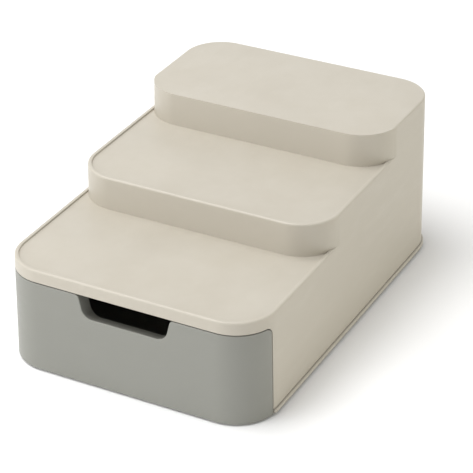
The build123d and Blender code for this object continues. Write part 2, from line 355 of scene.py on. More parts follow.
def move(bm, x, y, z):
    """Moves a whole bmesh."""
    bmesh.ops.translate(bm, vec=(x, y, z), verts=bm.verts[:])


def add_vert(bm, x, y, z):
    """Adds a vertex."""
    return bmesh.ops.create_vert(bm, co=(x, y, z))["vert"][0]


def plan(bm, half, y0, y1, radius, z):
    """The first face of a bmesh: a rounded rectangle, lying flat and facing up."""
    made = bmesh.ops.create_grid(bm, x_segments=1, y_segments=1, size=1.0)
    bmesh.ops.scale(bm, vec=(half, (y1 - y0) / 2, 1), verts=made["verts"])
    bmesh.ops.translate(bm, vec=(0, (y0 + y1) / 2, z), verts=made["verts"])
    round_corners(bm, made["verts"], radius)
    return bm.faces[:][0]


def quarter(radius, rise, flat_first=False, steps=5):
    """Inward and upward moves that follow a quarter circle. It starts upright, or flat."""
    moves = []
    for k in range(steps):
        a, b = pi / 2 * k / steps, pi / 2 * (k + 1) / steps
        across, along = radius * (cos(a) - cos(b)), radius * (sin(b) - sin(a))
        inward, lift = (along, across) if flat_first else (across, along)
        moves.append((inward, rise * lift))
    return moves


def climb(bm, face, moves):
    """Insets a level face again and again, and lifts it each time."""
    for inward, lift in moves:
        face.normal_update()
        bmesh.ops.inset_region(
            bm,
            faces=[face],
            thickness=max(inward, HAIR / 100),
            depth=lift if face.normal.z > 0 else -lift,
            use_even_offset=True,
            use_boundary=True,
        )


def close(bm):
    """Fills the open loop of a shell and returns the new face, which looks outward."""
    made = bmesh.ops.holes_fill(bm, edges=open_edges(bm), sides=0)
    face_outward(bm)
    return made["faces"][0]


def leaning_block(face, low, high, inset=0.0, rounding=0.0, foot=()):
    """Closed block on the leaning walls' plan, its top edge rounded and its foot shaped by moves."""
    place = Places()
    bm = bmesh.new()
    top = plan(bm, *place.outline(face, low, inset), low)
    height = high - low - rounding
    climb(bm, top, [(height * place.lean, height)])
    if rounding:
        climb(bm, top, quarter(rounding, 1))
    climb(bm, close(bm), foot)
    return bm


def prism(half, y0, y1, radius, low, high):
    """Upright block with round corners in plan."""
    bm = bmesh.new()
    climb(bm, plan(bm, half, y0, y1, radius, low), [(0, high - low)])
    close(bm)
    return bm


def add_box(bm, x0, x1, y0, y1, z0, z1):
    """Adds a box between two opposite corners."""
    verts = bmesh.ops.create_cube(bm, size=1.0)["verts"]
    bmesh.ops.scale(bm, vec=(x1 - x0, y1 - y0, z1 - z0), verts=verts)
    bmesh.ops.translate(bm, vec=((x0 + x1) / 2, (y0 + y1) / 2, (z0 + z1) / 2), verts=verts)
    return verts


def box(x0, x1, y0, y1, z0, z1):
    """A box on its own."""
    bm = bmesh.new()
    add_box(bm, x0, x1, y0, y1, z0, z1)
    return bm


def add_post(bm, x, y, z0, z1, radius, steps=40):
    """Adds an upright round post."""
    verts = bmesh.ops.create_cone(
        bm, cap_ends=True, segments=steps, radius1=radius, radius2=radius, depth=z1 - z0
    )["verts"]
    bmesh.ops.translate(bm, vec=(x, y, (z0 + z1) / 2), verts=verts)
    return verts


def add_peg(bm, x, z, y0, y1, radius):
    """Adds a round post that lies front to back."""
    verts = add_post(bm, 0, 0, y0, y1, radius)
    bmesh.ops.rotate(bm, cent=(0, 0, 0), matrix=Matrix.Rotation(-pi / 2, 3, "X"), verts=verts)
    bmesh.ops.translate(bm, vec=(x, 0, z), verts=verts)


def arc(x, z, radius, start, turn, steps=6):
    """Points on an arc about a centre, from a start angle through a turn, both in degrees."""
    angles = [radians(start + turn * k / steps) for k in range(steps + 1)]
    return [(x + radius * cos(a), z + radius * sin(a)) for a in angles]


def put_in_order(bm):
    """Sorts edges and faces by their vertices, because a spin makes them in a new order each time."""
    bm.verts.index_update()
    count = len(bm.verts)

    def rank(item):
        corners = sorted(vert.index for vert in item.verts)
        return (corners[0] * count + corners[1]) * count + corners[-1]

    for items in (bm.edges, bm.faces):
        items.sort(key=rank)
        items.index_update()


def spin(bm, angle, steps, **options):
    """Turns all that a bmesh holds round the upright axis."""
    geom = bm.verts[:] + bm.edges[:] + bm.faces[:]
    bmesh.ops.spin(bm, geom=geom, cent=(0, 0, 0), axis=(0, 0, 1), angle=angle, steps=steps, **options)
    put_in_order(bm)


def lathe(points, steps=48):
    """Closed solid turned round the upright axis from half of its outline, bottom first."""
    bm = bmesh.new()
    verts = [add_vert(bm, x, 0, z) for x, z in points]
    for a, b in zip(verts, verts[1:]):
        bmesh.ops.contextual_create(bm, geom=[a, b])
    spin(bm, 2 * pi, steps, use_merge=True)
    bmesh.ops.remove_doubles(bm, verts=bm.verts[:], dist=HAIR / 10)
    face_outward(bm)
    return bm


def loose(name, bm):
    """New object that holds a bmesh, which is freed."""
    mesh = bpy.data.meshes.new(name)
    bm.to_mesh(mesh)
    bm.free()
    obj = bpy.data.objects.new(name, mesh)
    bpy.context.scene.collection.objects.link(obj)
    return obj


def store(obj, bm):
    """Puts a bmesh into an object and frees it."""
    bm.to_mesh(obj.data)
    bm.free()


def lifted(obj):
    """An object's mesh as a bmesh. The object is removed."""
    bm = bmesh.new()
    bm.from_mesh(obj.data)
    mesh = obj.data
    bpy.data.objects.remove(obj)
    bpy.data.meshes.remove(mesh)
    return bm


def combine(obj, bm, operation):
    """Cuts a bmesh from an object, adds it or keeps what they share. The bmesh is freed."""
    tool = loose("tool", bm)
    modifier = obj.modifiers.new("tool", "BOOLEAN")
    modifier.operation = operation
    modifier.solver = "EXACT"
    modifier.object = tool
    result = bpy.data.meshes.new_from_object(obj.evaluated_get(bpy.context.evaluated_depsgraph_get()))
    obj.modifiers.clear()
    old, obj.data = obj.data, result
    bpy.data.meshes.remove(old)
    lifted(tool).free()


def cut(obj, bm):
    """Cuts a bmesh from an object."""
    combine(obj, bm, "DIFFERENCE")


def join(obj, bm):
    """Adds a bmesh to an object."""
    combine(obj, bm, "UNION")


def minus(bm, other):
    """One bmesh less another."""
    blank = loose("blank", bm)
    cut(blank, other)
    return lifted(blank)


def cleaned(obj):
    """An object's mesh as a bmesh, with doubles merged and level neighbours made one face."""
    bm = bmesh.new()
    bm.from_mesh(obj.data)
    bmesh.ops.remove_doubles(bm, verts=bm.verts[:], dist=HAIR / 5)
    bmesh.ops.dissolve_degenerate(bm, dist=HAIR / 10, edges=bm.edges[:])
    bmesh.ops.dissolve_limit(
        bm, angle_limit=radians(0.1), use_dissolve_boundaries=False, verts=bm.verts[:], edges=bm.edges[:]
    )
    return bm


def off_outline(point, half, y0, y1, radius):
    """Distance of a point from a rounded outline in plan, negative inside it."""
    across = abs(point.x) - (half - radius)
    along = abs(point.y - (y0 + y1) / 2) - ((y1 - y0) / 2 - radius)
    outside = sqrt(max(across, 0) ** 2 + max(along, 0) ** 2)
    return outside + min(max(across, along), 0) - radius


def crisp_outer_edges(bm, low, high):
    """Crisp edges that lie in the leaning outer face, between two heights."""
    place, near = Places(), 3 * HAIR
    found = []
    for edge in bm.edges:
        points = [vert.co for vert in edge.verts]
        level = all(low < p.z < high for p in points)
        outer = all(abs(off_outline(p, *place.outline(place.front, p.z))) < near for p in points)
        if level and outer and edge.calc_face_angle(0.0) > SHARP:
            found.append(edge)
    return found


def settle(obj, node, body, slot):
    """Finishes a piece: clean mesh, shading, the material that its slot names, and its body. The solid that
    it stands for is hidden.
    """
    bm = cleaned(obj)
    if not all(edge.is_manifold for edge in bm.edges):
        raise RuntimeError(obj.name + " is not closed")
    face_outward(bm)
    for face in bm.faces:
        face.smooth = True
    for edge in bm.edges:
        edge.smooth = edge.calc_face_angle(0.0) < CRISP
    store(obj, bm)
    obj.data.name = obj.name
    obj.data.materials.clear()
    obj.data.materials.append(FINISHES[slot]())
    even = obj.modifiers.new("Even shading", "WEIGHTED_NORMAL")
    even.keep_sharp = True
    even.weight = 100
    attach(obj, body)
    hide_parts(node)


# ---- housing ----


def shelf_space(face, rim_top):
    """Air over a shelf, down to its floor and to the rounded rim round it."""
    place, size = sizes("housing")
    start = rim_top - size.rim_round
    half, y0, y1, radius = place.outline(face, start)
    bm = bmesh.new()
    lid = plan(bm, half + PAST, y0 - PAST, y1 + PAST, radius + PAST, start)
    bmesh.ops.reverse_faces(bm, faces=[lid])
    flat = size.rim_width - size.rim_round - size.rim_inner
    drop = size.rim_height - size.rim_inner - size.floor_round
    moves = [(PAST, 0)] + quarter(size.rim_round, 1) + [(flat, 0)]
    moves += quarter(size.rim_inner, -1, flat_first=True) + [(0, -drop)]
    moves += quarter(size.floor_round, -1, steps=3)
    climb(bm, lid, moves)
    made = bmesh.ops.extrude_edge_only(bm, edges=open_edges(bm))
    raised = [item for item in made["geom"] if isinstance(item, bmesh.types.BMVert)]
    bmesh.ops.translate(bm, vec=(0, 0, place.top - start + PAST), verts=raised)
    close(bm)
    return bm


def riser_block(face, inset=0.0):
    """All that stays behind a riser, a hair wider than the side walls."""
    return leaning_block(face + HAIR, PAST, Places().top + 2 * PAST, inset - HAIR)


def hollow():
    """Stepped space inside the housing."""
    place, size = sizes("housing")
    low, high = place.plate_top - PAST, place.top - size.shelf
    obj = loose("hollow", leaning_block(place.front, low, high, size.wall))
    width, y0, y1 = place.half + PAST, place.front - PAST, place.back + PAST
    for riser, floor in ((place.riser_2, place.floor_1), (place.riser_3, place.floor_2)):
        slab = box(-width, width, y0, y1, floor - size.shelf, place.top + PAST)
        cut(obj, minus(slab, riser_block(riser, size.wall)))
    return lifted(obj)


def front_region(edge, top, corner):
    """All that is in front of an edge and below a top, with the corner between them rounded."""
    width = Places().half + PAST
    bm = box(-width, width, Places().front - PAST, edge, -PAST, top)
    ridge = [e for e in bm.edges if all(v.co.y > edge - HAIR and v.co.z > top - HAIR for v in e.verts)]
    soften(bm, ridge, corner, steps=14)
    return bm


def housing_ribs():
    """Guide ribs, stop ribs and hold-down ribs."""
    place, size, drawer = sizes("housing", "drawer")
    bm = bmesh.new()
    low, high, thick = place.cup_top, place.tray_top, size.rib / 2
    pitch = (place.boss_back - place.boss_front) / (size.guides + 1)
    for step in range(size.guides):
        y = place.boss_front + (step + 1) * pitch
        add_box(bm, place.guide_face, place.side_root, y - thick, y + thick, low, high)
        add_box(bm, -place.side_root, -place.guide_face, y - thick, y + thick, low, high)
    for x in (-size.back_ribs / 2, size.back_ribs / 2):
        start = place.tray_back + drawer.back_gap
        add_box(bm, x - thick, x + thick, start, place.back_root, low, high)
    low, high = place.tray_top + drawer.hold_gap, place.floor_1 - size.shelf / 2
    for x in (drawer.wall / 2 - place.tray_half, place.tray_half - drawer.wall / 2):
        y = place.side_front + HAIR
        add_box(bm, x - thick, x + thick, y, y + size.hold_down, low, high)
    return bm


def add_bosses(obj):
    """Adds the screw bosses, each with a web to the side wall, and drills them."""
    place, plate = sizes("plate")
    webs, posts, pilots = bmesh.new(), bmesh.new(), bmesh.new()
    top = place.cup_top + plate.boss_height
    for x, y in place.corners.values():
        x0, x1 = sorted((x, place.side_root if x > 0 else -place.side_root))
        thick = plate.boss_web / 2
        add_box(webs, x0, x1, y - thick, y + thick, place.cup_top + HAIR, top - HAIR)
        add_post(posts, x, y, place.cup_top, top, plate.boss)
        end = place.bearing + plate.base_screw + plate.screw_end
        add_post(pilots, x, y, 0, end, plate.screw_core, steps=24)
    join(obj, webs)
    join(obj, posts)
    cut(obj, pilots)


def build_housing():
    """The stepped shell with its ribs and bosses."""
    place, size, drawer = sizes("housing", "drawer")
    low = place.plate_top + size.seam
    foot = [(size.seam_depth, 0), (0, -size.seam)]
    obj = loose("Housing", leaning_block(place.front, low, place.top, rounding=size.rim_round, foot=foot))
    cut(obj, minus(shelf_space(place.front, size.tier_1), riser_block(place.riser_2)))
    cut(obj, minus(shelf_space(place.riser_2, size.tier_2), riser_block(place.riser_3)))
    cut(obj, hollow())
    cut(obj, front_region(place.side_front, place.lip_bottom, drawer.wrap_round + drawer.gap))
    bm = cleaned(obj)
    soften(bm, crisp_outer_edges(bm, low + HAIR, place.lip_bottom + HAIR), size.edge)
    store(obj, bm)
    join(obj, housing_ribs())
    add_bosses(obj)
    settle(obj, "tiered_housing", "housing", "stone_plastic")


# ---- base plate, feet and screws ----


def flange_blank():
    """Edge-rounded plate behind the drawer front, as wide as the flange."""
    place, size, plate = sizes("housing", "plate")
    bm = bmesh.new()
    low, high = place.stand + plate.edge, place.plate_top - plate.edge
    ends = place.front - plate.flange, place.back + plate.flange
    plan(bm, place.half + plate.flange, *ends, size.corner + plate.flange, low)
    bmesh.ops.bisect_plane(
        bm,
        geom=bm.verts[:] + bm.edges[:] + bm.faces[:],
        dist=HAIR / 10,
        plane_co=(0, place.side_front, 0),
        plane_no=(0, -1, 0),
        clear_outer=True,
    )
    tips = [vert for vert in bm.verts if vert.co.y < place.side_front + HAIR]
    turn = radians(80)  # less than a right angle, because the outline still curves where it is cut
    round_corners(bm, tips, plate.end_round, turn, steps=8)
    climb(bm, bm.faces[:][0], [(0, high - low)] + quarter(plate.edge, 1, steps=4))
    climb(bm, close(bm), quarter(plate.edge, -1, steps=4))
    return bm


def locating_ridge():
    """Upstand just inside the walls of the housing."""
    place, size, plate = sizes("housing", "plate")
    inset = place.lean * place.ridge_top + size.wall + plate.slack
    half, start, end = place.half - inset, place.front + inset, place.back - inset
    low, thick, radius = place.plate_top - plate.thickness / 2, plate.ridge_thickness, size.corner - inset
    ring = prism(half, start, end, radius, low, place.ridge_top)
    ring = minus(ring, prism(half - thick, start - HAIR, end - thick, radius - thick, 0, PAST))
    return minus(ring, box(-half, half, start - PAST, place.side_front + size.wall, 0, PAST))


def build_plate():
    """Base plate with its flange, nose, ridge, cups, drawer stop and sunk panel."""
    place, size, plate, drawer = sizes("housing", "plate", "drawer")
    obj = loose("BasePlate", flange_blank())
    inset = drawer.skin + plate.nose_gap
    start, end = place.front + inset, place.side_front + size.corner
    low, high = place.stand + HAIR, place.plate_top - HAIR
    join(obj, prism(place.half - inset, start, end, size.corner - inset, low, high))
    join(obj, locating_ridge())
    cups, low = bmesh.new(), place.plate_top - plate.thickness / 2
    for x, y in place.corners.values():
        add_post(cups, x, y, low, place.cup_top, plate.boss)
    join(obj, cups)
    face = place.stop_back - drawer.stop_length - place.travel - drawer.stop_slack
    half, high = drawer.stop_width / 2, place.tray_under - drawer.slide_gap
    join(obj, box(-half, half, face - drawer.stop_length, face, low, high))
    inset = plate.panel_inset
    start, end = place.side_front + inset, place.back - inset
    cut(obj, prism(place.half - inset, start, end, plate.panel_corner, 0, place.stand + plate.panel_depth))
    seat, head = plate.foot + plate.slack, plate.head + plate.screw_play
    shank = plate.screw_core + plate.screw_play
    outline = [(0, 0), (seat, 0), (seat, place.foot_top), (head, place.foot_top)]
    outline += [(head, place.bearing), (shank, place.bearing), (shank, PAST), (0, PAST)]
    for x, y in place.corners.values():
        drill = lathe(outline, steps=64)
        move(drill, x, y, 0)
        cut(obj, drill)
    settle(obj, "base_plate", "housing", "stone_plastic")


def build_foot(corner, x0, y0):
    """Soft pad with a ring groove in its sole."""
    place, plate = sizes("plate")
    # the groove in shares of its half width and of its depth
    groove = [(-1, 0), (-5 / 6, 0.7), (-0.5, 1), (0.5, 1), (5 / 6, 0.7), (1, 0)]
    half, deep = plate.groove_width / 2, plate.groove_depth
    outline = [(0, 0)] + [(plate.groove + half * x, deep * z) for x, z in groove]
    outline += arc(plate.foot - plate.foot_round, plate.foot_round, plate.foot_round, -90, 90)
    outline += [(plate.foot, place.foot_top), (0, place.foot_top)]
    bm = lathe(outline, steps=64)
    move(bm, x0, y0, 0)
    obj = loose("FootPad_" + corner, bm)
    settle(obj, "foot_" + corner, "housing", "foot_rubber")


def thread_ridge(start, end):
    """Helical ridge round a screw's core. Its foot is sunk into the core by a tenth."""
    plate, steps = settings("plate"), 24
    bm, turns = bmesh.new(), (end - start) / plate.pitch
    foot, crest, rise = plate.screw_core * 0.9, plate.screw_core + plate.thread, plate.pitch * 0.3
    points = [(foot, -rise), (crest, 0), (foot, rise)]
    verts = [add_vert(bm, x, 0, start + z) for x, z in points]
    bmesh.ops.contextual_create(bm, geom=verts)
    spin(bm, 2 * pi * turns, round(steps * turns), dvec=(0, 0, plate.pitch / steps))
    rim = open_edges(bm)
    if rim:
        bmesh.ops.holes_fill(bm, edges=rim, sides=0)
    face_outward(bm)
    return bm


def screw_shape(shank):
    """Pan-head screw with a cross recess. The seat of its head is at the origin, its point is up."""
    plate = settings("plate")
    head, core, bend, chamfer = plate.head, plate.screw_core, plate.head_round, 0.2 * MM
    outline = [(0, -plate.head_height)] + arc(head - bend, bend - plate.head_height, bend, -90, 90)
    outline += [(head, -chamfer), (head - chamfer, 0), (core, 0), (core, shank - plate.screw_point)]
    outline += [(core / 4, shank), (0, shank)]
    obj = loose("screw", lathe(outline))
    arm, width = plate.recess / 2, plate.recess_width / 2
    floor, taper = plate.recess_depth - plate.head_height, 0.8
    for x, y in ((arm, width), (width, arm)):
        tool = box(-x, x, -y, y, -plate.head_height - PAST, floor)
        tip = [vert for vert in tool.verts if vert.co.z > floor - HAIR]
        bmesh.ops.scale(tool, vec=(taper, taper, 1), verts=tip)
        cut(obj, tool)
    bm = lifted(obj)
    ridge = bpy.data.meshes.new("ridge")
    coil = thread_ridge(2 * plate.pitch, shank - plate.screw_point)
    coil.to_mesh(ridge)
    coil.free()
    bm.from_mesh(ridge)
    bpy.data.meshes.remove(ridge)
    return bm


def build_base_screw(corner, x, y):
    """Screw that holds the base plate to a boss of the housing."""
    bm = screw_shape(settings("plate").base_screw)
    move(bm, x, y, Places().bearing)
    obj = loose("BaseScrew_" + corner, bm)
    settle(obj, "base_screw_" + corner, "housing", "screw_steel")


# ---- drawer ----


def notch_section(bm, deep, grow):
    """Outline of the finger notch at a depth behind the leaning face, grown all round."""
    place, size = sizes("drawer")
    middle = place.front_top - size.notch_depth / 2
    share = max(deep + place.lean * middle, 0) / size.depth
    floor = place.front_top - size.notch_depth - size.notch_drop * share - grow
    mouth = size.notch / 2 - size.notch_inset * share + grow
    foot = mouth - (place.front_top - floor) * tan(size.notch_angle)
    wing, level = mouth + 3 * size.notch_shoulder, place.front_top + HAIR
    right = [(foot, floor), (mouth, level), (wing, level), (wing, level + PAST)]
    points = [(-x, z) for x, z in reversed(right)] + right
    known = set(bm.verts)
    verts = [add_vert(bm, x, place.front + place.lean * z + deep, z) for x, z in points]
    bmesh.ops.contextual_create(bm, geom=verts)
    turn = pi / 2 - size.notch_angle
    round_corners(bm, [verts[3], verts[4]], size.notch_corner + grow, turn, steps=12)
    round_corners(bm, [verts[2], verts[5]], size.notch_shoulder, turn, steps=8)
    new = set(bm.verts) - known
    return [edge for edge in bm.edges if edge.verts[0] in new]


def notch_space(grow, start, end, rounding=0.0):
    """Solid through the finger notch from one depth to another, its front edge rounded."""
    bm = bmesh.new()
    stations = [(start, grow + rounding)]
    if rounding:
        stations += [(rounding - z, grow + rounding - x) for x, z in arc(0, 0, rounding, 90, -90)]
    stations += [(end, grow)]
    sections = [notch_section(bm, deep, growth) for deep, growth in stations]
    inner = [section[0].link_faces[0] for section in sections[1:-1]]
    bmesh.ops.delete(bm, geom=inner, context="FACES_ONLY")
    for near, far in zip(sections, sections[1:]):
        bmesh.ops.bridge_loops(bm, edges=near + far)
    face_outward(bm)
    return bm


def build_front():
    """Drawer front: a curved skin with a web along its top, a lined notch and screw bosses."""
    place, size, plate = sizes("drawer", "plate")
    low, top = place.front_low + size.foot_edge, place.front_top
    foot = quarter(size.foot_edge, -1)
    obj = loose("DrawerFront", leaning_block(place.front, low, top, rounding=size.edge, foot=foot))
    cut(obj, leaning_block(place.front, -PAST, place.tray_top, size.skin))
    combine(obj, front_region(place.wrap_back, top + HAIR, size.wrap_round), "INTERSECT")
    bm = cleaned(obj)
    soften(bm, crisp_outer_edges(bm, low - HAIR, top - size.edge + HAIR), size.rear_edge)
    store(obj, bm)
    lining = loose("lining", notch_space(size.lining, size.skin / 2, size.depth))
    width = place.half + PAST
    below = box(-width, width, place.front - PAST, place.inside + PROUD, 0, place.tray_top + size.web / 2)
    combine(lining, below, "INTERSECT")
    join(obj, lifted(lining))
    posts, pilots = bmesh.new(), bmesh.new()
    for x, z in place.fixings.values():
        root = place.front + place.lean * z + size.skin / 2
        add_peg(posts, x, z, root, place.tray_front, size.screw_boss)
        end = place.inside - plate.front_screw - plate.screw_end
        add_peg(pilots, x, z, end, place.tray_front + PAST, plate.screw_core)
    join(obj, posts)
    half, radius = place.tray_half - size.wall, size.corner - size.wall
    rear = place.inside + PAST + 2 * size.wrap
    cut(obj, prism(half, place.inside, rear, radius, -PAST, top + PAST))
    cut(obj, notch_space(0, -2 * PROUD, size.depth + PROUD, size.notch_edge))
    cut(obj, pilots)
    settle(obj, "drawer_front", "drawer", "grey_plastic")


def build_tray():
    """Drawer tray with runners and a stop underneath."""
    place, size, plate = sizes("drawer", "plate")
    half, radius, wall = place.tray_half, size.corner, size.wall
    bm = bmesh.new()
    low = place.tray_under + size.tray_round
    top = plan(bm, half, place.tray_front, place.tray_back, radius, low)
    climb(bm, top, [(0, place.tray_top - low)])
    climb(bm, close(bm), quarter(size.tray_round, -1))
    obj = loose("DrawerTray", bm)
    pocket = bmesh.new()
    low = place.tray_under + size.floor + size.tray_inner
    start, end = place.inside, place.tray_back - wall
    top = plan(pocket, half - wall, start, end, radius - wall, low)
    climb(pocket, top, [(0, place.tray_top + PAST - low)])
    climb(pocket, close(pocket), quarter(size.tray_inner, -1, steps=7))
    cut(obj, pocket)
    bm = cleaned(obj)
    rim = [e for e in bm.edges if all(v.co.z > place.tray_top - HAIR for v in e.verts)]
    soften(bm, [edge for edge in rim if edge.calc_face_angle(0.0) > SHARP], size.rim_edge)
    store(obj, bm)
    low, high = place.plate_top + size.slide_gap, place.tray_under + size.floor / 2
    rails, thick = bmesh.new(), size.runner_width / 2
    for x in (size.runner_inset - half, half - size.runner_inset):
        add_box(rails, x - thick, x + thick, place.tray_front + radius, place.stop_back, low, high)
    stop = size.stop_width / 2
    add_box(rails, -stop, stop, place.stop_back - size.stop_length, place.stop_back, low, high)
    join(obj, rails)
    start = size.depth - 2 * wall
    cut(obj, notch_space(size.lining + plate.slack, start, size.depth + PROUD))
    holes = bmesh.new()
    for x, z in place.fixings.values():
        shank = plate.screw_core + plate.screw_play
        add_peg(holes, x, z, place.tray_front - PROUD, place.inside + PROUD, shank)
    cut(obj, holes)
    settle(obj, "drawer_tray", "drawer", "grey_plastic")


def build_front_screw(corner, x, z):
    """Screw from inside the tray into a boss of the drawer front."""
    bm = screw_shape(settings("plate").front_screw)
    bmesh.ops.rotate(bm, cent=(0, 0, 0), matrix=Matrix.Rotation(pi / 2, 3, "X"), verts=bm.verts[:])
    move(bm, x, Places().inside, z)
    obj = loose("FrontScrew_" + corner, bm)
    settle(obj, "front_screw_" + corner, "drawer", "screw_steel")


# ---- finishes ----


def new_group(name, inputs, outputs):
    """Empty shader group with value inputs and outputs, and its two end nodes."""
    tree = bpy.data.node_groups.new(name, "ShaderNodeTree")
    for title, value in inputs.items():
        socket = tree.interface.new_socket(name=title, in_out="INPUT", socket_type="NodeSocketFloat")
        socket.default_value = value
    for title in outputs:
        tree.interface.new_socket(name=title, in_out="OUTPUT", socket_type="NodeSocketFloat")
    return tree, tree.nodes.new("NodeGroupInput"), tree.nodes.new("NodeGroupOutput")


def fill(tree, socket, value):
    """Links an input to a socket, or sets it to a plain value."""
    if isinstance(value, bpy.types.NodeSocket):
        tree.links.new(value, socket)
    else:
        socket.default_value = value


def add_node(tree, kind, **values):
    """New node with some of its inputs filled, named with underscores for spaces."""
    node = tree.nodes.new("ShaderNode" + kind)
    for title, value in values.items():
        fill(tree, node.inputs[title.replace("_", " ")], value)
    return node


def math_node(tree, operation, first, second):
    """Math node between two sockets or numbers."""
    node = add_node(tree, "Math")
    node.operation = operation
    fill(tree, node.inputs[0], first)
    fill(tree, node.inputs[1], second)
    return node.outputs[0]


def spread(tree, value, low, high, smooth=False):
    """Maps a range of values onto 0 to 1."""
    node = add_node(tree, "MapRange", Value=value, From_Min=low, From_Max=high)
    node.interpolation_type = "SMOOTHSTEP" if smooth else "LINEAR"
    return node.outputs["Result"]


def noise(tree, vector, scale, detail, roughness):
    """Noise on a vector."""
    node = add_node(tree, "TexNoise", Vector=vector, Scale=scale, Detail=detail, Roughness=roughness)
    return node.outputs["Fac"]


def on_object(tree):
    """Object coordinates."""
    return add_node(tree, "TexCoord").outputs["Object"]


def moulded_skin():
    """Fine eroded texture of a moulding tool, with slow clouding and rubbed patches, which are smoother and
    which the plastics also paint lighter as a painted sheen.
    """
    name = "Moulded Skin"
    if name in bpy.data.node_groups:
        return bpy.data.node_groups[name]
    inputs = {"Grain Scale": 1500.0, "Pit Scale": 2300.0, "Cloud Scale": 16.0, "Rub Scale": 55.0}
    tree, start, end = new_group(name, inputs, ("Height", "Cloud", "Rub"))
    place = on_object(tree)
    grain = noise(tree, place, start.outputs["Grain Scale"], 3.0, 0.6)
    pits = add_node(tree, "TexVoronoi", Vector=place, Scale=start.outputs["Pit Scale"])
    coarse = math_node(tree, "MULTIPLY", grain, 0.65)
    fine = math_node(tree, "MULTIPLY", pits.outputs["Distance"], 0.35)
    height = math_node(tree, "ADD", coarse, fine)
    tree.links.new(height, end.inputs["Height"])
    cloud = noise(tree, place, start.outputs["Cloud Scale"], 4.0, 0.55)
    tree.links.new(spread(tree, cloud, 0.3, 0.7, smooth=True), end.inputs["Cloud"])
    # rubbed patches: real wear that is smoother, and where the plastics paint a lighter painted sheen
    stretch = add_node(tree, "Mapping", Vector=place, Scale=(1.0, 0.35, 1.6), Rotation=(0.3, 0.2, 0.5))
    rub_and_sheen = noise(tree, stretch.outputs["Vector"], start.outputs["Rub Scale"], 5.0, 0.65)
    tree.links.new(spread(tree, rub_and_sheen, 0.45, 0.75, smooth=True), end.inputs["Rub"])
    return tree


def settled_dust():
    """Mask of the thin haze on surfaces that face up."""
    name = "Settled Dust"
    if name in bpy.data.node_groups:
        return bpy.data.node_groups[name]
    tree, start, end = new_group(name, {"Amount": 0.1, "Patch Scale": 40.0}, ("Dust",))
    up = add_node(tree, "SeparateXYZ", Vector=add_node(tree, "NewGeometry").outputs["Normal"])
    level = spread(tree, up.outputs["Z"], 0.6, 1.0, smooth=True)
    patches = spread(tree, noise(tree, on_object(tree), start.outputs["Patch Scale"], 5.0, 0.6), 0.35, 0.7)
    dust = math_node(tree, "MULTIPLY", math_node(tree, "MULTIPLY", level, patches), start.outputs["Amount"])
    tree.links.new(dust, end.inputs["Dust"])
    return tree


class Paint:
    """A material under construction, with helpers for its nodes."""

    def __init__(self, name, roughness, metallic=0.0):
        self.material = bpy.data.materials.new(name)
        self.material.use_nodes = True
        self.tree = self.material.node_tree
        self.shader = self.tree.nodes["Principled BSDF"]
        self.shader.inputs["Roughness"].default_value = roughness
        self.shader.inputs["Metallic"].default_value = metallic

    def group(self, tree, **values):
        """Places a shader group with its own values."""
        node = self.tree.nodes.new("ShaderNodeGroup")
        node.node_tree = tree
        for title, value in values.items():
            node.inputs[title.replace("_", " ")].default_value = value
        return node.outputs

    def blend(self, mask, first, second):
        """Colour between two colours, each a socket or three numbers."""
        node = add_node(self.tree, "Mix", Factor=mask)
        node.data_type = "RGBA"
        for socket, value in zip((node.inputs[6], node.inputs[7]), (first, second)):
            plain = not isinstance(value, bpy.types.NodeSocket)
            fill(self.tree, socket, (*value, 1.0) if plain else value)
        return node.outputs[2]

    def range(self, mask, low, high):
        """Maps a mask from 0 to 1 onto a range."""
        node = add_node(self.tree, "MapRange", Value=mask, To_Min=low, To_Max=high)
        return node.outputs["Result"]

    def feed(self, socket, value):
        """Links a value to a socket of the shader."""
        self.tree.links.new(value, self.shader.inputs[socket])

    def bump(self, height, depth, strength):
        """Fine relief of a depth in metres."""
        node = add_node(self.tree, "Bump", Distance=depth, Strength=strength, Height=height)
        self.feed("Normal", node.outputs["Normal"])

    def texture(self, base, clouding, rough, relief, scales, strength=0.5):
        """Roughens the surface with the moulded skin. Returns its masks and the clouded base colour."""
        skin = self.group(moulded_skin(), **scales)
        self.feed("Roughness", self.range(skin["Rub"], *rough))
        self.bump(skin["Height"], relief, strength)
        darker, lighter = clouding
        return skin, self.blend(skin["Cloud"], tinted(base, darker), tinted(base, lighter))


def tinted(base, amount):
    """A colour made lighter or darker by a share."""
    return tuple(min(channel * (1 + amount), 1.0) for channel in base)


def moulded_plastic(name, base, roughness, dust, grain):
    """Satin moulded plastic with a fine texture, slow clouding, smoother rubbed patches painted lighter as a
    painted sheen, and a little haze on its shelves.
    """
    if name in bpy.data.materials:
        return bpy.data.materials[name]
    paint = Paint(name, roughness)
    scales = {"Grain_Scale": grain, "Pit_Scale": 1.5 * grain}
    rough = roughness + 0.03, roughness - 0.07
    skin, body = paint.texture(base, (-0.015, 0.015), rough, relief=0.03 * MM, scales=scales)
    haze = paint.group(settled_dust(), Amount=dust)
    # painted sheen: the smoother rubbed patches are painted 3 percent lighter
    body_with_painted_sheen = paint.blend(paint.range(skin["Rub"], 0.0, 0.35), body, tinted(base, 0.03))
    paint.feed("Base Color", paint.blend(haze["Dust"], body_with_painted_sheen, (0.8, 0.79, 0.76)))
    return paint.material


def stone_plastic():
    """Warm stone plastic of the housing and the base plate."""
    return moulded_plastic("Stone plastic", settings("finish").stone, roughness=0.4, dust=0.06, grain=1300.0)


def grey_plastic():
    """Green grey plastic of the drawer."""
    return moulded_plastic("Grey plastic", settings("finish").grey, roughness=0.4, dust=0.03, grain=1500.0)


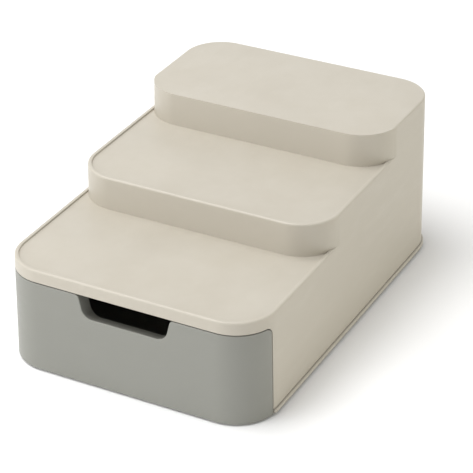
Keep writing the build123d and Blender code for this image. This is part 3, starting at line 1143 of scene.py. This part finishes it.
def foot_rubber():
    """Matt soft rubber of the feet."""
    name = "Foot rubber"
    if name in bpy.data.materials:
        return bpy.data.materials[name]
    base, paint = settings("finish").pad, Paint(name, 0.8)
    scales = {"Grain_Scale": 900.0, "Pit_Scale": 1200.0, "Cloud_Scale": 120.0, "Rub_Scale": 300.0}
    body = paint.texture(base, (-0.1, 0.12), rough=(0.84, 0.7), relief=0.05 * MM, scales=scales)[1]
    haze = paint.group(settled_dust(), Amount=0.1, Patch_Scale=300.0)
    paint.feed("Base Color", paint.blend(haze["Dust"], body, (0.5, 0.49, 0.47)))
    return paint.material


def screw_steel():
    """Zinc-plated steel with fine drawn marks."""
    name = "Zinc steel"
    if name in bpy.data.materials:
        return bpy.data.materials[name]
    base, paint = settings("finish").steel, Paint(name, 0.32, metallic=1.0)
    scales = {"Grain_Scale": 4000.0, "Pit_Scale": 2500.0, "Cloud_Scale": 400.0, "Rub_Scale": 900.0}
    tone, rough = (-0.12, 0.08), (0.36, 0.24)
    body = paint.texture(base, tone, rough, relief=0.01 * MM, scales=scales, strength=0.4)[1]
    paint.feed("Base Color", body)
    return paint.material


FINISHES = {
    "stone_plastic": stone_plastic,
    "grey_plastic": grey_plastic,
    "foot_rubber": foot_rubber,
    "screw_steel": screw_steel,
}

# ---- camera, floor and light ----


def floor_paint():
    """White floor, lifted to plain white for the camera alone, so that shadows stay."""
    paint = Paint("Studio floor", 0.9)
    paint.shader.inputs["Base Color"].default_value = (0.9, 0.9, 0.9, 1.0)
    paint.shader.inputs["Specular IOR Level"].default_value = 0.0
    paint.shader.inputs["Emission Color"].default_value = (*WHITE, 1.0)
    seen = add_node(paint.tree, "LightPath").outputs["Is Camera Ray"]
    lift = 0.02  # brings the lit floor up to plain white
    paint.feed("Emission Strength", math_node(paint.tree, "MULTIPLY", seen, lift))
    return paint.material


def room_light(strength):
    """Plain light from all round, white to the camera and in reflections."""
    world = bpy.data.worlds.new("Studio")
    world.use_nodes = True
    tree = world.node_tree
    rays, light = add_node(tree, "LightPath").outputs, strength
    for kind in ("Is Camera Ray", "Is Glossy Ray", "Is Transmission Ray"):
        light = math_node(tree, "MAXIMUM", rays[kind], light)
    sky = tree.nodes["Background"].inputs
    tree.links.new(light, sky["Strength"])
    sky["Color"].default_value = (*WHITE, 1.0)
    bpy.context.scene.world = world


def soft_box(name, watts, place, size, tint=WHITE):
    """Square area light that looks at the caddy."""
    light = bpy.data.lights.new(name, "AREA")
    light.shape = "SQUARE"
    light.size = size
    light.energy = watts
    light.color = tint
    obj = bpy.data.objects.new(name, light)
    bpy.context.scene.collection.objects.link(obj)
    aim = Vector((0, 0, 50 * MM)) - Vector(place)
    obj.matrix_world = Matrix.Translation(place) @ aim.to_track_quat("-Z", "Y").to_matrix().to_4x4()
    return obj


def set_camera(studio):
    """Camera at the height, side and tilt from which the caddy was seen."""
    camera = bpy.data.cameras.new("Camera")
    camera.lens = studio.lens
    camera.sensor_width = 36.0
    obj = bpy.data.objects.new("Camera", camera)
    bpy.context.scene.collection.objects.link(obj)
    a, e, r = studio.azimuth, studio.elevation, studio.roll
    behind = Vector((sin(a) * cos(e), -cos(a) * cos(e), sin(e)))
    right = Vector((cos(a), sin(a), 0))
    up = behind.cross(right)
    across, upward = right * cos(r) + up * sin(r), up * cos(r) - right * sin(r)
    turn = Matrix((across, upward, behind)).transposed().to_4x4()
    obj.matrix_world = Matrix.Translation(Vector(studio.target) + behind * studio.distance) @ turn
    bpy.context.scene.camera = obj


def build_studio():
    """White floor, soft boxes, room light and camera."""
    studio = settings("studio")
    bm = bmesh.new()
    bmesh.ops.create_circle(bm, cap_ends=True, segments=96, radius=6.0)
    floor = loose("Floor", bm)
    floor.data.materials.append(floor_paint())
    lamps = [
        soft_box("Key soft box", studio.key, place=(-0.43, -0.23, 1.42), size=1.0),
        soft_box("Fill soft box", studio.fill, place=(-0.75, -1.2, 0.45), size=1.0),
        soft_box("Side soft box", studio.side, place=(1.5, 0.6, 0.25), size=0.4, tint=(1.0, 0.95, 0.74)),
    ]
    room_light(studio.room)
    set_camera(studio)
    bpy.context.scene.view_settings.view_transform = "Standard"


# ---- commands and panel ----


class CADDY_OT_housing(bpy.types.Operator):
    """Build the stepped housing."""

    bl_idname = "caddy.housing"
    bl_label = "Housing"

    def execute(self, context):
        build_housing()
        return {"FINISHED"}


class CADDY_OT_plate(bpy.types.Operator):
    """Build the base plate."""

    bl_idname = "caddy.plate"
    bl_label = "Base plate"

    def execute(self, context):
        build_plate()
        return {"FINISHED"}


class CADDY_OT_feet(bpy.types.Operator):
    """Build the four soft feet."""

    bl_idname = "caddy.feet"
    bl_label = "Feet"

    def execute(self, context):
        for corner, (x, y) in Places().corners.items():
            build_foot(corner, x, y)
        return {"FINISHED"}


class CADDY_OT_screws(bpy.types.Operator):
    """Build the screws of the base plate and of the drawer front."""

    bl_idname = "caddy.screws"
    bl_label = "Screws"

    def execute(self, context):
        for corner, (x, y) in Places().corners.items():
            build_base_screw(corner, x, y)
        for corner, (x, z) in Places().fixings.items():
            build_front_screw(corner, x, z)
        return {"FINISHED"}


class CADDY_OT_drawer_front(bpy.types.Operator):
    """Build the drawer front with its finger notch."""

    bl_idname = "caddy.drawer_front"
    bl_label = "Drawer front"

    def execute(self, context):
        build_front()
        return {"FINISHED"}


class CADDY_OT_drawer_tray(bpy.types.Operator):
    """Build the drawer tray."""

    bl_idname = "caddy.drawer_tray"
    bl_label = "Drawer tray"

    def execute(self, context):
        build_tray()
        return {"FINISHED"}


class CADDY_OT_studio(bpy.types.Operator):
    """Build the floor, the lights and the camera."""

    bl_idname = "caddy.studio"
    bl_label = "Studio"

    def execute(self, context):
        build_studio()
        return {"FINISHED"}


class CADDY_PT_panel(bpy.types.Panel):
    """Commands that build the caddy."""

    bl_idname = "CADDY_PT_panel"
    bl_label = "Caddy"
    bl_space_type = "VIEW_3D"
    bl_region_type = "UI"
    bl_category = "Caddy"

    def draw(self, context):
        for command in COMMANDS:
            self.layout.operator(command.bl_idname)


GROUPS = {
    "housing": HousingSizes,
    "plate": PlateSizes,
    "drawer": DrawerSizes,
    "finish": Finish,
    "studio": Studio,
}
COMMANDS = (
    CADDY_OT_housing,
    CADDY_OT_plate,
    CADDY_OT_feet,
    CADDY_OT_screws,
    CADDY_OT_drawer_front,
    CADDY_OT_drawer_tray,
    CADDY_OT_studio,
)


def register():
    """Registers the sizes, the commands and the panel."""
    for name, group in GROUPS.items():
        bpy.utils.register_class(group)
        setattr(bpy.types.Scene, "caddy_" + name, PointerProperty(type=group))
    for command in COMMANDS:
        bpy.utils.register_class(command)
    bpy.utils.register_class(CADDY_PT_panel)


def unregister():
    """Takes everything back in the opposite order."""
    bpy.utils.unregister_class(CADDY_PT_panel)
    for command in reversed(COMMANDS):
        bpy.utils.unregister_class(command)
    for name, group in reversed(GROUPS.items()):
        delattr(bpy.types.Scene, "caddy_" + name)
        bpy.utils.unregister_class(group)


def main():
    """Builds every piece and the studio."""
    register()
    bpy.ops.caddy.housing()
    bpy.ops.caddy.plate()
    bpy.ops.caddy.feet()
    bpy.ops.caddy.screws()
    bpy.ops.caddy.drawer_front()
    bpy.ops.caddy.drawer_tray()
    bpy.ops.caddy.studio()


if __name__ == "__main__":
    main()
